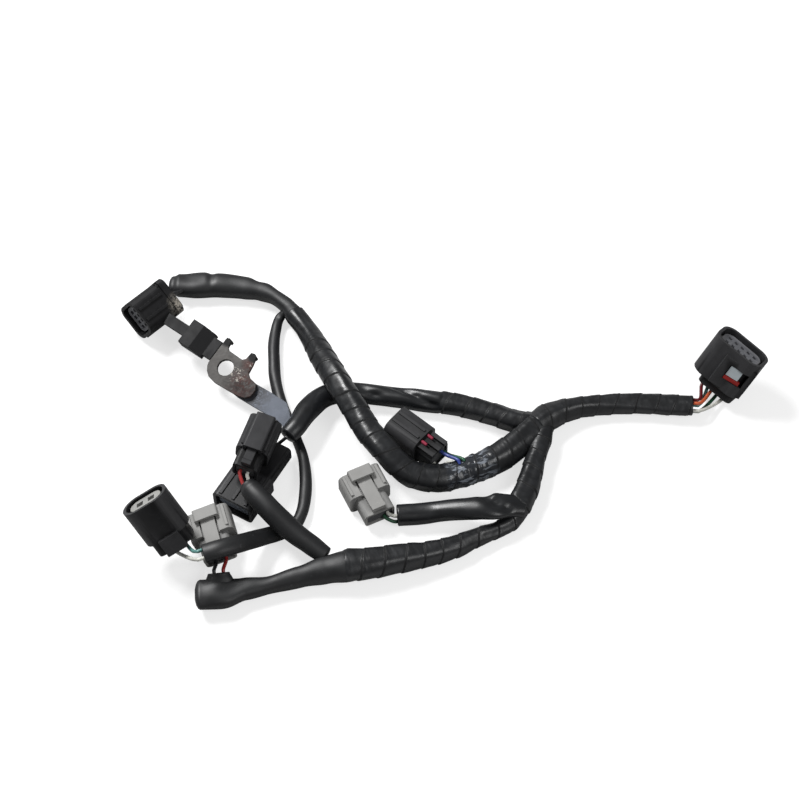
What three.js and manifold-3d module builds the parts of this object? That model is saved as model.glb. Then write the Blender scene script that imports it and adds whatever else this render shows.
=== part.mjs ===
// Vehicle wiring harness: a taped trunk with sleeved branches, eight sealed connectors,
// a moulded connector holder and a pressed steel bracket.
// Millimetres, +Z up, the harness lies on the plane z = 0.
import * as THREE from "three";
import { mergeVertices } from "three/addons/utils/BufferGeometryUtils.js";
import Module from "manifold-3d";

const wasm = await Module();
wasm.setup();

// Driving dimensions
const middle = [20.2, -17.98];
const seat = 0.3;
const tubeSides = 10;
const wireSides = 6;
const wireSize = 2.0;
const hoodWall = 1.7;
const holderRecess = 2.2;
const holderThickness = 4.0;
const sealThickness = 3.0;
const sealRecess = 0.8;
const plateThickness = 2.0;
const stripThickness = 1.6;
const boltHole = 8.8;
const plateTilt = THREE.MathUtils.degToRad(17);

// Surface finishes read from the real parts
const finishes = {
  tape: [0x26272a, 0.38, 0],
  sleeve: [0x2a2b2d, 0.5, 0],
  black: [0x2e2e30, 0.55, 0],
  grey: [0x8b8b8a, 0.6, 0],
  holder: [0x55565a, 0.6, 0],
  paleHolder: [0xb9b9b6, 0.6, 0],
  rubber: [0x4a4b4e, 0.75, 0],
  steel: [0x6c6a6a, 0.5, 0.7],
  strip: [0x7a808a, 0.45, 0.8],
  redPlug: [0xa83a50, 0.6, 0],
  white: [0xc4cdd2, 0.5, 0],
  redLock: [0xa3201c, 0.55, 0],
};
const wireColours = {
  maroon: 0x5a0f16,
  teal: 0x5f8f8a,
  orange: 0xc25a36,
  green: 0x3b5a45,
  white: 0xd8d8d0,
  blue: 0x3c4a8a,
  red: 0x9c2b2b,
  black: 0x232325,
};

function finish([color, roughness, metalness]) {
  return new THREE.MeshStandardMaterial({ color, roughness, metalness });
}

function solid(geometry) {
  const plain = new THREE.BufferGeometry();
  const source = geometry.index ? geometry.toNonIndexed() : geometry;
  plain.setAttribute("position", source.getAttribute("position"));
  const merged = mergeVertices(plain, 1e-4);
  return new wasm.Manifold(
    new wasm.Mesh({
      numProp: 3,
      vertProperties: merged.attributes.position.array,
      triVerts: new Uint32Array(merged.index.array),
    }),
  );
}

function meshOf(name, body, look) {
  const data = body.getMesh();
  const geometry = new THREE.BufferGeometry();
  const points = new Float32Array(data.vertProperties);
  geometry.setAttribute("position", new THREE.BufferAttribute(points, 3));
  geometry.setIndex(new THREE.BufferAttribute(new Uint32Array(data.triVerts), 1));
  geometry.computeVertexNormals();
  const mesh = new THREE.Mesh(geometry, finish(look));
  mesh.name = name;
  return mesh;
}

// A rectangle with rounded corners, as a closed outline
function rounded(width, height, corner, x = 0, y = 0) {
  const a = width / 2 - corner;
  const b = height / 2 - corner;
  const shape = new THREE.Shape();
  shape.absarc(x + a, y + b, corner, 0, Math.PI / 2);
  shape.absarc(x - a, y + b, corner, Math.PI / 2, Math.PI);
  shape.absarc(x - a, y - b, corner, Math.PI, 1.5 * Math.PI);
  shape.absarc(x + a, y - b, corner, 1.5 * Math.PI, 2 * Math.PI);
  shape.closePath();
  return shape;
}

// An outline drawn out along +Z between two heights
function prism(shape, from, to, curveSegments = 3) {
  const options = { depth: to - from, bevelEnabled: false, curveSegments };
  const geometry = new THREE.ExtrudeGeometry(shape, options);
  geometry.translate(0, 0, from);
  return solid(geometry);
}

function box(x0, x1, y0, y1, z0, z1, turn = 0) {
  const geometry = new THREE.BoxGeometry(x1 - x0, y1 - y0, z1 - z0);
  geometry.translate((x0 + x1) / 2, (y0 + y1) / 2, (z0 + z1) / 2);
  geometry.rotateZ(turn);
  return solid(geometry);
}

// A side outline in the YZ plane drawn out along X, for levers and clips
function sideProfile(points, width, x = 0) {
  const shape = new THREE.Shape(points.map(([z, y]) => new THREE.Vector2(z, y)));
  const geometry = new THREE.ExtrudeGeometry(shape, { depth: width, bevelEnabled: false });
  geometry.rotateY(-Math.PI / 2);
  geometry.translate(x + width / 2, 0, 0);
  return solid(geometry);
}

// Routes of the taped and sleeved branches: [x, y, z] of each point and [width, height] there
const routes = {
  sleeveA: {
    at: [
      [-118.3, 72.5, 6.5],
      [-114.7, 72.3, 6.5],
      [-105.3, 72.7, 6.2],
      [-93.9, 72.5, 6.0],
      [-80.8, 70.9, 6.0],
      [-71.8, 68.3, 6.5],
      [-64.3, 63.4, 7.5],
      [-57.8, 57.2, 8.0],
      [-54.8, 52.6, 8.0],
    ],
    size: [
      [10, 7],
      [13, 10],
      [14.5, 11],
      [13, 11],
      [12, 10.5],
      [9.5, 9.5],
      [7.5, 8.5],
      [8, 9],
      [9.5, 10.2],
    ],
  },
  trunk: {
    at: [
      [-54.6, 52.2, 8.0],
      [-49.7, 44.9, 8.5],
      [-44.3, 35.1, 10.0],
      [-38.8, 22.3, 13.5],
      [-33.4, 10.3, 16.8],
      [-27.2, -2.2, 17.8],
      [-21.2, -12.6, 16.6],
      [-15.2, -23.6, 15.6],
      [-8.7, -32.1, 15.2],
      [-1.7, -39.7, 12.8],
      [6.3, -44.2, 9.5],
      [18.0, -45.3, 8.0],
      [28.8, -42.6, 7.3],
      [40.1, -37.6, 7.0],
      [50.6, -31.0, 7.0],
      [59.7, -22.9, 7.0],
      [67.5, -14.7, 7.0],
    ],
    size: [
      [10.5, 11],
      [10.5, 11],
      [11.5, 12],
      [12.5, 12],
      [12.5, 12],
      [12.5, 12],
      [12.5, 12],
      [12.5, 12],
      [12.5, 12],
      [12.5, 12.5],
      [13, 13],
      [13.5, 13],
      [14, 13],
      [14.5, 13.5],
      [14.5, 13.5],
      [13.5, 13],
      [13, 12.5],
    ],
  },
  branchH: {
    at: [
      [67.7, -14.5, 7.0],
      [74.2, -9.0, 6.8],
      [81.3, -5.4, 6.3],
      [90.0, -2.7, 5.8],
      [100.1, -1.2, 5.5],
      [112.7, -0.4, 5.4],
      [123.7, -0.6, 5.4],
      [135.1, -1.6, 5.4],
      [146.0, -2.6, 6.0],
    ],
    size: [
      [13, 12.5],
      [14, 12],
      [12, 11],
      [10.2, 10.2],
      [9.8, 9.8],
      [10, 10],
      [10, 10],
      [10.3, 10],
      [9.6, 9.6],
    ],
  },
  tapeC: {
    at: [
      [68.6, -12.9, 6.0],
      [57.2, -11.2, 6.0],
      [46.9, -7.2, 5.8],
      [32.5, -2.7, 5.7],
      [20.2, -0.1, 5.7],
    ],
    size: [[11, 11]],
  },
  sleeveC: {
    at: [
      [19.8, 0.0, 5.7],
      [10.5, 1.2, 5.7],
      [1.0, 2.8, 5.6],
      [-10.0, 4.3, 5.6],
      [-21.6, 5.8, 5.6],
      [-31.2, 5.7, 5.7],
      [-39.1, 2.1, 7.0],
      [-45.7, -7.2, 10.0],
      [-50.9, -17.9, 12.1],
      [-54.9, -23.4, 12.2],
    ],
    size: [
      [11, 11],
      [11.5, 11],
      [10.5, 10.5],
      [10.5, 10.5],
      [10.5, 10.5],
      [10.8, 10.8],
      [11.5, 10.5],
      [11.5, 10.5],
      [10.5, 9.5],
      [9.6, 8.6],
    ],
  },
  loop: {
    at: [
      [-59.4, 55.5, 6.0],
      [-62.5, 52.4, 4.2],
      [-64.1, 44.8, 3.3],
      [-64.6, 36.7, 3.3],
      [-64.2, 27.4, 3.3],
      [-63.6, 18.2, 3.3],
      [-61.5, 7.9, 3.3],
      [-58.7, -1.7, 3.3],
      [-54.8, -11.2, 3.3],
      [-51.1, -20.6, 3.3],
      [-47.8, -30.5, 3.3],
      [-46.3, -40.8, 3.3],
      [-46.2, -52.1, 3.3],
      [-47.4, -61.6, 3.3],
      [-50.1, -68.2, 3.3],
      [-54.8, -72.1, 3.4],
      [-62.4, -75.4, 5.4],
      [-70.1, -81.4, 11.4],
      [-77.2, -87.4, 18.0],
      [-84.6, -91.2, 20.6],
      [-91.6, -93.4, 20.0],
    ],
    size: [
      [4, 5],
      [5, 5.5],
      [5.6, 6],
      [6, 6],
      [6, 6],
      [6, 6],
      [6, 6],
      [6, 6],
      [5.6, 5.6],
      [5, 5.4],
      [5.4, 6],
      [6, 6],
      [6, 6],
      [6, 6],
      [6, 6],
      [7, 6],
      [9, 6],
      [9.5, 6.5],
      [9.5, 7],
      [9.5, 7],
      [9.5, 7],
    ],
  },
  branchLow: {
    at: [
      [71.0, -15.3, 6.0],
      [69.2, -23.3, 5.8],
      [66.8, -32.5, 5.7],
      [64.6, -40.5, 5.7],
      [61.8, -49.6, 5.7],
      [57.8, -58.8, 6.0],
    ],
    size: [
      [10.5, 10.5],
      [11, 11],
      [9.5, 10],
      [10.5, 10.5],
      [11.5, 11],
      [11.5, 11],
    ],
  },
  sleeveF: {
    at: [
      [58.4, -61.5, 7.0],
      [52.4, -62.1, 10.0],
      [45.5, -64.1, 12.5],
      [37.4, -64.3, 12.0],
      [28.8, -63.7, 9.5],
      [19.3, -63.1, 6.5],
      [9.7, -63.6, 5.3],
      [-1.0, -64.6, 5.2],
    ],
    size: [
      [11, 8],
      [12, 7.5],
      [13, 7],
      [11.5, 8],
      [10.5, 9],
      [10, 9.8],
      [10, 10],
      [10.5, 10],
    ],
  },
  tapeLow: {
    at: [
      [57.6, -59.2, 5.6],
      [53.5, -67.5, 4.2],
      [46.6, -71.9, 4.2],
      [37.4, -75.9, 4.8],
      [26.3, -81.4, 5.4],
      [14.3, -85.5, 6.0],
      [0.0, -89.0, 6.9],
      [-14.2, -92.2, 7.4],
      [-25.8, -93.5, 7.4],
    ],
    size: [
      [9, 9],
      [7.8, 7.8],
      [7.5, 7.6],
      [8.6, 8.8],
      [10.4, 10],
      [11.6, 11.2],
      [13.6, 13],
      [14.4, 14],
      [15.5, 14],
    ],
  },
  sleeveD: {
    at: [
      [-26.2, -93.5, 7.4],
      [-35.5, -95.3, 6.8],
      [-47.3, -98.1, 5.5],
      [-61.3, -101.9, 4.7],
      [-73.0, -104.3, 5.2],
      [-83.6, -107.4, 6.5],
      [-93.8, -108.2, 7.0],
    ],
    size: [
      [15.5, 14],
      [13, 12],
      [10, 10],
      [8.5, 8.6],
      [11, 9],
      [15, 10],
      [15.5, 8],
    ],
  },
  mouthD: {
    at: [
      [-84.6, -104.6, 6.5],
      [-85.0, -101.0, 8.2],
      [-85.3, -98.4, 9.6],
    ],
    size: [
      [14, 6.5],
      [12.5, 6.5],
      [10.5, 6],
    ],
  },
  sleeveB: {
    at: [
      [-73.0, -55.4, 18.8],
      [-70.9, -58.3, 18.8],
      [-66.9, -63.3, 18.8],
      [-61.5, -69.1, 17.5],
      [-55.6, -74.0, 15.0],
      [-49.3, -79.0, 12.5],
      [-42.7, -82.9, 10.0],
      [-35.6, -87.7, 8.0],
    ],
    size: [
      [8.5, 8],
      [10.5, 10],
      [11, 10.5],
      [11, 10.5],
      [11, 10.5],
      [10.5, 10],
      [10, 9],
      [9, 8],
    ],
  },
};

// A closed tube whose oval section follows a route; grow adds to both section sizes
function cover({ at, size }, grow = 0) {
  const spine = new THREE.CatmullRomCurve3(at.map((p) => new THREE.Vector3(...p)));
  const sizes = size.length > 1 ? size : at.map(() => size[0]);
  const widths = new THREE.CatmullRomCurve3(sizes.map(([w, h]) => new THREE.Vector3(w, h, 0)));
  const ring = [];
  for (let i = 0; i < tubeSides; i += 1) {
    const angle = (2 * Math.PI * (i + 0.5)) / tubeSides;
    ring.push(new THREE.Vector2(Math.cos(angle), Math.sin(angle)));
  }
  const steps = (at.length - 1) * 2;
  const options = { depth: 1, steps, bevelEnabled: false };
  const geometry = new THREE.ExtrudeGeometry(new THREE.Shape(ring), options);
  const place = geometry.getAttribute("position");
  const up = new THREE.Vector3(0, 0, 1);
  for (let i = 0; i < place.count; i += 1) {
    const t = THREE.MathUtils.clamp(place.getZ(i), 0, 1);
    const centre = spine.getPoint(t);
    const along = spine.getTangent(t);
    const side = new THREE.Vector3().crossVectors(up, along).normalize();
    const over = new THREE.Vector3().crossVectors(along, side);
    const width = widths.getPoint(t);
    centre.addScaledVector(side, (place.getX(i) * (width.x + grow)) / 2);
    centre.addScaledVector(over, (place.getY(i) * (width.y + grow)) / 2);
    place.setXYZ(i, centre.x, centre.y, centre.z);
  }
  return solid(geometry);
}

const bodies = {};
for (const [name, route] of Object.entries(routes)) bodies[name] = cover(route);
const room = (name) => cover(routes[name], 2 * seat);
bodies.branchH = bodies.branchH.subtract(room("trunk"));
bodies.sleeveD = bodies.sleeveD.subtract(room("tapeLow")).add(bodies.mouthD);
bodies.sleeveC = bodies.sleeveC.subtract(room("tapeC"));
bodies.loop = bodies.loop.subtract(room("sleeveA")).subtract(room("trunk"));
bodies.tapeC = bodies.tapeC.subtract(room("trunk")).subtract(room("branchH"));
bodies.branchLow = bodies.branchLow.subtract(room("trunk")).subtract(room("branchH"));
bodies.branchLow = bodies.branchLow.subtract(room("tapeC"));
bodies.tapeLow = bodies.tapeLow.subtract(room("branchLow"));
bodies.sleeveF = bodies.sleeveF.subtract(room("branchLow")).subtract(room("tapeLow"));
bodies.sleeveB = bodies.sleeveB.subtract(room("tapeLow")).subtract(room("sleeveD"));

function largest(body) {
  return body.decompose().sort((a, b) => b.volume() - a.volume())[0];
}

// Sealed connector housings. In each one's own frame the mating face is at z = 0 and looks
// along +Z, x is the long way of the face and +Y is the lock lever's side.
const connectors = {
  a: {
    face: [-134.5, 43.7, 14.7],
    front: [-0.657, -0.7465, 0.103],
    up: [0.4445, -0.2735, 0.85],
    width: 19.5,
    height: 17,
    corner: 5,
    hood: 18,
    length: 22.5,
    rear: [19, 16.5, 3],
    core: [14.3, 11.6, 3],
    rows: 4,
    columns: 2,
    pitch: [3, 4.2],
    cavity: [1.7, 2.6],
    ribs: [-3.2, 3.2],
    look: "black",
    holderLook: "holder",
  },
  b: {
    face: [-65.45, -21.9, 20.7],
    front: [0.316, 0.949, 0],
    up: [0.12, 0, 1],
    width: 16.5,
    height: 12.5,
    corner: 3.5,
    hood: 19.5,
    length: 29,
    rear: [12.5, 10, 2],
    core: [10.5, 7.6, 2.5],
    rows: 2,
    columns: 1,
    pitch: [4.4, 0],
    cavity: [2, 2.6],
    lever: [4.6, 20],
    ribs: [-5.6, -3.9, 5.6],
    look: "black",
    holderLook: "holder",
  },
  c: {
    face: [-80.9, -61.2, 6.6],
    front: [-0.492, -0.87, 0],
    up: [0, 0, 1],
    width: 22,
    height: 13,
    corner: 3,
    hood: 20,
    length: 40,
    rear: [18, 9.5, 2],
    core: [17.6, 8.6, 1.6],
    rows: 0,
    columns: 1,
    pitch: [4.6, 0],
    cavity: [2, 2.6],
    ribs: [-7, 0, 7],
    look: "black",
    holderLook: "holder",
  },
  d: {
    face: [-92.2, -66.2, 8.2],
    front: [-0.29, 0.957, 0],
    up: [-0.2, -0.06, 0.978],
    width: 21.4,
    height: 13,
    corner: 3,
    hood: 13.6,
    length: 24.6,
    rear: [15.5, 9, 2],
    core: [15, 6.6, 2.5],
    rows: 3,
    columns: 1,
    pitch: [4.4, 0],
    cavity: [2, 2.6],
    lever: [7, 6],
    ribs: [-8.5, 8.5],
    look: "grey",
    holderLook: "grey",
  },
  e: {
    face: [-119.6, -72.4, 34.1],
    front: [-0.509, 0.422, 0.751],
    up: [0.125, -0.8266, 0.5494],
    width: 23.6,
    height: 15.6,
    corner: 7.4,
    hood: 20,
    length: 27.5,
    rear: [19, 11.5, 3],
    core: [16.6, 9.2, 4.2],
    recess: 1,
    rows: 2,
    columns: 1,
    pitch: [6.2, 0],
    cavity: [3.4, 3.8],
    ribs: [],
    look: "black",
    holderLook: "paleHolder",
  },
  f: {
    face: [-20.3, -43.7, 6.6],
    front: [-0.434, 0.901, 0],
    up: [0, 0, 1],
    width: 21.4,
    height: 13,
    corner: 3,
    hood: 13.6,
    length: 24.6,
    rear: [15.5, 9, 2],
    core: [15, 6.6, 2.5],
    rows: 3,
    columns: 1,
    pitch: [4.4, 0],
    cavity: [2, 2.6],
    lever: [7, 6],
    ribs: [-8.5, 8.5],
    look: "grey",
    holderLook: "grey",
  },
  g: {
    face: [-2.6, -15.2, 9.1],
    front: [-0.758, 0.652, 0],
    up: [0, 0, 1],
    width: 17,
    height: 18,
    corner: 4.5,
    hood: 19,
    length: 28.5,
    rear: [13.5, 12, 2.5],
    core: [10.5, 11, 3],
    rows: 2,
    columns: 3,
    pitch: [4.2, 3.4],
    cavity: [2, 2],
    ribs: [-2.5, 2.5],
    look: "black",
    holderLook: "holder",
  },
  h: {
    face: [170.3, 18.5, 28.2],
    front: [0.451, 0.288, 0.843],
    up: [-0.497, -0.695, 0.5216],
    width: 28,
    height: 19,
    corner: 6.6,
    hood: 22,
    length: 27,
    rear: [20, 13.5, 3, -2.4, 0],
    core: [22.4, 13.2, 4.6],
    rows: 5,
    columns: 2,
    pitch: [3.8, 5],
    cavity: [1.8, 2.4],
    ribs: [],
    look: "black",
    holderLook: "holder",
  },
};

function basis({ face, front, up }) {
  const z = new THREE.Vector3(...front).normalize();
  const y = new THREE.Vector3(...up);
  y.addScaledVector(z, -y.dot(z)).normalize();
  const x = new THREE.Vector3().crossVectors(y, z);
  const matrix = new THREE.Matrix4().makeBasis(x, y, z);
  return matrix.setPosition(...face);
}

// The lock lever of one housing: an arm in a channel of the hood, under a bridge at the front
const leverClearance = 0.8;
const armThickness = 1.5;
const channelDepth = 1.2;
function addLever(body, { height, hood, length, lever, rear }) {
  const [width, bridge] = lever;
  const top = height / 2;
  const foot = top - channelDepth + 0.4;
  const head = foot + armThickness;
  const half = width / 2 + leverClearance;
  const channel = box(-half, half, top - channelDepth, head + 0.5, -hood - 1, 1);
  const arm = sideProfile(
    [
      [-1, foot],
      [-1, head],
      [-length + 3.5, head],
      [-length + 2.5, head + 0.9],
      [-length + 0.5, head + 0.9],
      [-length + 0.5, foot],
      [-hood - 1, foot],
      [-hood - 1, rear[1] / 2 - 0.5],
      [-hood + 3, top - hoodWall + 0.2],
      [-hood + 3, foot],
    ],
    width,
  );
  let made = body;
  if (bridge) {
    const outer = rounded(2 * half + 3.4, head + 3 - top, 1, 0, (head + 1 + top) / 2);
    made = made.add(prism(outer, -bridge, 0, 2));
  }
  return made.subtract(channel).add(arm);
}

function housingOf(spec) {
  const { width, height, corner, hood, length, rear, core, recess = holderRecess } = spec;
  const floor = -hood + 2.5;
  const [rearWidth, rearHeight, rearCorner, shiftX = 0, shiftY = 0] = rear;
  let body = prism(rounded(width, height, corner), -hood, 0, 4);
  if (spec.outside) body = spec.outside(body, spec);
  const inner = rounded(width - 2 * hoodWall, height - 2 * hoodWall, corner - hoodWall);
  body = body.subtract(prism(inner, floor, 1));
  body = body.add(prism(rounded(...core), floor - 1, -recess - holderThickness - seat));
  body = body.add(prism(rounded(rearWidth, rearHeight, rearCorner, shiftX, shiftY), -length, -hood + 1));
  const pocket = rounded(rearWidth - 2.4, rearHeight - 2.4, rearCorner - 1, shiftX, shiftY);
  const pocketDepth = sealRecess + sealThickness + seat;
  body = body.subtract(prism(pocket, -length - 1, -length + pocketDepth));
  for (const x of spec.ribs) {
    body = body.add(box(x - 0.7, x + 0.7, height / 2 - 0.5, height / 2 + 0.6, -hood + 1.5, -1));
  }
  if (spec.lever) body = addLever(body, spec);
  return spec.extra ? spec.extra(body, spec) : body;
}

// The terminal holder: a plate in the mouth of the hood with a square hole at each terminal
function holderOf({ core, rows, columns, pitch, cavity, recess = holderRecess }) {
  let plate = prism(rounded(...core), -recess - holderThickness, -recess);
  for (let i = 0; i < rows; i += 1) {
    for (let j = 0; j < columns; j += 1) {
      const x = (i - (rows - 1) / 2) * pitch[0];
      const y = (j - (columns - 1) / 2) * pitch[1];
      const [w, h] = cavity;
      const deep = -recess - holderThickness + 1;
      plate = plate.subtract(box(x - w / 2, x + w / 2, y - h / 2, y + h / 2, deep, 1));
    }
  }
  return plate;
}

// The wire seal: a rubber pad in the pocket at the back of the housing
function sealOf({ length, rear }) {
  const [width, height, corner, shiftX = 0, shiftY = 0] = rear;
  const trim = 2.4 + 2 * seat;
  const outline = rounded(width - trim, height - trim, corner - 1, shiftX, shiftY);
  return prism(outline, -length + sealRecess, -length + sealRecess + sealThickness);
}

// Stepped rear flange with the side foot that the holder clips on
function flangeA(body, { length }) {
  const flange = prism(rounded(20.6, 18.6, 3, 0.4, 0), -length + 1, -length + 4.5, 2);
  const foot = box(9, 10.4, -8, 0, -length + 1, -3);
  return body.add(flange.add(foot).subtract(box(-8.3, 8.3, -7, 7, -length - 1, -length + 5)));
}

// Square window near one edge of the broad side, on a face turned with the oval outline
const lockWindow = { x: [-9.6, 1.2], z: [-15.6, -7], depth: 2.2, turn: 0.3 };
function windowH(body, { height }) {
  const top = height / 2;
  const [x0, x1] = lockWindow.x;
  const [z0, z1] = lockWindow.z;
  const { depth, turn } = lockWindow;
  const frame = body.add(box(x0 - 2.6, x1 + 4.4, top - 3, top + 1, -21, -4, turn));
  return frame.subtract(box(x0, x1, top + 1 - depth, top + 3, z0, z1, turn));
}

// Two long fingers on the rear body of the large connector, with the plug holes between
function fingersG(body, { length, hood }) {
  let made = body;
  for (const x of [-4.6, 0, 4.6]) {
    made = made.add(box(x - 1.2, x + 1.2, 5.5, 7.6, -length - 0.5, -hood + 0.5));
  }
  return made;
}

// Lock block on the rear of the oval connector
function blockE(body, { length }) {
  return body.add(box(-6, 4.6, 5.2, 10, -length, -length + 9));
}

connectors.a.extra = flangeA;
connectors.h.outside = windowH;
connectors.g.extra = fingersG;
connectors.e.extra = blockE;

const group = new THREE.Group();
group.name = "wiring_harness";
const harness = new THREE.Group();
harness.position.set(-middle[0], -middle[1], 0);
group.add(harness);

const coverNames = {
  sleeveA: ["branch_a_sleeve", "sleeve"],
  trunk: ["trunk_tape", "tape"],
  branchH: ["branch_h_tape", "tape"],
  tapeC: ["branch_c_tape", "tape"],
  sleeveC: ["branch_c_sleeve", "sleeve"],
  loop: ["branch_e_sleeve", "sleeve"],
  branchLow: ["lower_branch_tape", "tape"],
  sleeveF: ["branch_f_sleeve", "sleeve"],
  tapeLow: ["branch_bd_tape", "tape"],
  sleeveD: ["branch_d_sleeve", "sleeve"],
  sleeveB: ["branch_b_sleeve", "sleeve"],
};
for (const [key, [name, look]] of Object.entries(coverNames)) {
  harness.add(meshOf(name, largest(bodies[key]), finishes[look]));
}

const frames = {};
for (const [key, spec] of Object.entries(connectors)) {
  const place = new THREE.Group();
  frames[key] = basis(spec);
  place.applyMatrix4(frames[key]);
  const name = `connector_${key}`;
  place.add(meshOf(`${name}_housing`, housingOf(spec), finishes[spec.look]));
  place.add(meshOf(`${name}_terminal_holder`, holderOf(spec), finishes[spec.holderLook]));
  place.add(meshOf(`${name}_wire_seal`, sealOf(spec), finishes.rubber));
  harness.add(place);
  spec.place = place;
}

// Locking slide of the many-way connector, seen through the window
{
  const [x0, x1] = lockWindow.x;
  const [z0, z1] = lockWindow.z;
  const { depth, turn } = lockWindow;
  const foot = connectors.h.height / 2 + 1 - depth + seat;
  const bar = z0 + 2.2;
  const slide = box(x0 + 3.4, x1 - 0.6, foot, foot + 1.6, bar + seat, z1 - seat, turn);
  const lock = box(x0 + 1.8, x1 - seat, foot, foot + 1.9, z0 + seat, bar, turn);
  connectors.h.place.add(meshOf("connector_h_lock_slide", slide, finishes.white));
  connectors.h.place.add(meshOf("connector_h_lock_bar", lock, finishes.redLock));
}

// Plugs in the two unused terminal places of the large connector
for (const [i, x] of [-2.3, 2.3].entries()) {
  const { hood } = connectors.g;
  const pin = new THREE.CylinderGeometry(0.8, 0.9, 3.2, 8);
  pin.rotateX(-Math.PI / 2);
  pin.translate(x, 7.5, -hood - seat - 1.6);
  connectors.g.place.add(meshOf(`connector_g_blank_plug_${i + 1}`, solid(pin), finishes.redPlug));
}

// Bracket and moulded holder, drawn in the plane of the bracket plate: x along it, y across
const plate = new THREE.Group();
const alongPlate = new THREE.Vector3(0.797, -0.604, 0).normalize();
const plateNormal = new THREE.Vector3(
  -Math.sin(plateTilt) * -alongPlate.y,
  -Math.sin(plateTilt) * alongPlate.x,
  Math.cos(plateTilt),
).normalize();
const acrossPlate = new THREE.Vector3().crossVectors(plateNormal, alongPlate);
const plateFrame = new THREE.Matrix4().makeBasis(alongPlate, acrossPlate, plateNormal);
plate.applyMatrix4(plateFrame.setPosition(-87.7, 16.2, 13));
harness.add(plate);

const tabFold = { from: [-9.0, 7.0], width: 2.8, at: 12.0, thick: 1.4, drop: 2.5 };
const plateOutline = [
  [-9.2, 8.6],
  [-9.2, -2.6],
  [-8.6, -4.2],
  [-7.2, -6.4],
  [-4.6, -8.4],
  [-0.2, -9.3],
  [13.8, -8.6],
  [18.2, -7.4],
  [20.2, -5.2],
  [20.4, -1.4],
  [18.6, 1.6],
  [14, 2.4],
  [11.8, 4],
  [11.2, 8.4],
  [10.2, 12.6],
  [8.6, 14],
  [6.6, 13.4],
  [6.2, 9.4],
  [4.8, 8],
  [-4.2, 8.3],
  [-5.6, 9.6],
  [-6, 12.6],
  [-7.6, 13.8],
  [-9.2, 12.6],
];
{
  const shape = new THREE.Shape(plateOutline.map((p) => new THREE.Vector2(...p)));
  const hole = new THREE.Path();
  hole.absarc(0, 0, boltHole / 2, 0, 2 * Math.PI);
  shape.holes.push(hole);
  let body = prism(shape, -plateThickness, 0, 8);
  // Folded tips of the two tabs
  const folded = -plateThickness - tabFold.drop;
  for (const x of tabFold.from) {
    const tip = box(x, x + tabFold.width, tabFold.at, tabFold.at + tabFold.thick, folded, 0);
    body = body.add(tip);
  }
  plate.add(meshOf("bracket_plate", body, finishes.steel));
}

const stripOutline = [
  [6, -8],
  [13.8, -8.8],
  [28.4, -8.2],
  [39, -7.6],
  [42.6, -8.4],
  [44.5, -11],
  [47.4, -10],
  [44.6, -4.1],
  [41, -0.6],
  [37, 2.4],
  [27.2, 2.4],
  [12, 1.6],
  [6, 1.6],
];
{
  const shape = new THREE.Shape(stripOutline.map((p) => new THREE.Vector2(...p)));
  const top = -plateThickness - seat;
  plate.add(meshOf("bracket_strip", prism(shape, top - stripThickness, top), finishes.strip));
}
const holderBlock = { back: -28.4, front: -15, left: -2.4, right: 11.6, low: -4, high: 3.2, step: -0.6 };
const holderTongue = { length: 8.6, width: 6, thick: 2 };
const holderJaw = { end: -9.9, width: 11 };
{
  // Side outline of the holder: tongue, raised block, sloping back and the jaw on the plate
  const outline = (points, y0, y1) => {
    const shape = new THREE.Shape(points.map((p) => new THREE.Vector2(...p)));
    const geometry = new THREE.ExtrudeGeometry(shape, { depth: y1 - y0, bevelEnabled: false });
    geometry.rotateX(Math.PI / 2);
    geometry.translate(0, y1, 0);
    return solid(geometry);
  };
  const { back, front, low, high, step } = holderBlock;
  const middleOf = (holderBlock.left + holderBlock.right) / 2;
  const across = (width) => [middleOf - width / 2, middleOf + width / 2];
  const end = back - holderTongue.length;
  const half = holderTongue.thick / 2;
  const side = [[end, -half], [back + 1, -half], [back + 1, half], [end, half]];
  const tongue = outline(side, ...across(holderTongue.width));
  const profile = [[back, low], [front, low], [front, step], [(back + front) / 2, high], [back, high]];
  const block = outline(profile, holderBlock.left, holderBlock.right);
  const root = front - 1;
  const edge = [[root, low + 0.6], [holderJaw.end, low + 0.6], [holderJaw.end, step], [root, step]];
  const jaw = outline(edge, ...across(holderJaw.width));
  const body = block.add(tongue).add(jaw);
  plate.add(meshOf("connector_a_holder", body, finishes.black));
}

// Loose wires between a connector's seal and the end of its sleeve
function wire(name, points, colour, cutters = []) {
  const spine = new THREE.CatmullRomCurve3(points.map((p) => new THREE.Vector3(...p)));
  const ring = [];
  for (let i = 0; i < wireSides; i += 1) {
    const angle = (2 * Math.PI * i) / wireSides;
    ring.push(new THREE.Vector2(Math.cos(angle) * wireSize / 2, Math.sin(angle) * wireSize / 2));
  }
  const options = { steps: 8, bevelEnabled: false, extrudePath: spine };
  let body = solid(new THREE.ExtrudeGeometry(new THREE.Shape(ring), options));
  for (const cutter of cutters) body = body.subtract(cutter);
  harness.add(meshOf(name, largest(body), [wireColours[colour], 0.5, 0]));
}

// A point given in a connector's own frame, in the harness frame
function pointOn(key, x, y, z) {
  return new THREE.Vector3(x, y, z).applyMatrix4(frames[key]).toArray();
}

// The middle of a sleeve's end and the way it looks out
function mouth(name, first = false) {
  const points = routes[name].at.map((p) => new THREE.Vector3(...p));
  if (first) points.reverse();
  const end = points[points.length - 1];
  const heading = end.clone().sub(points[points.length - 2]).normalize();
  return { end, heading };
}

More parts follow.
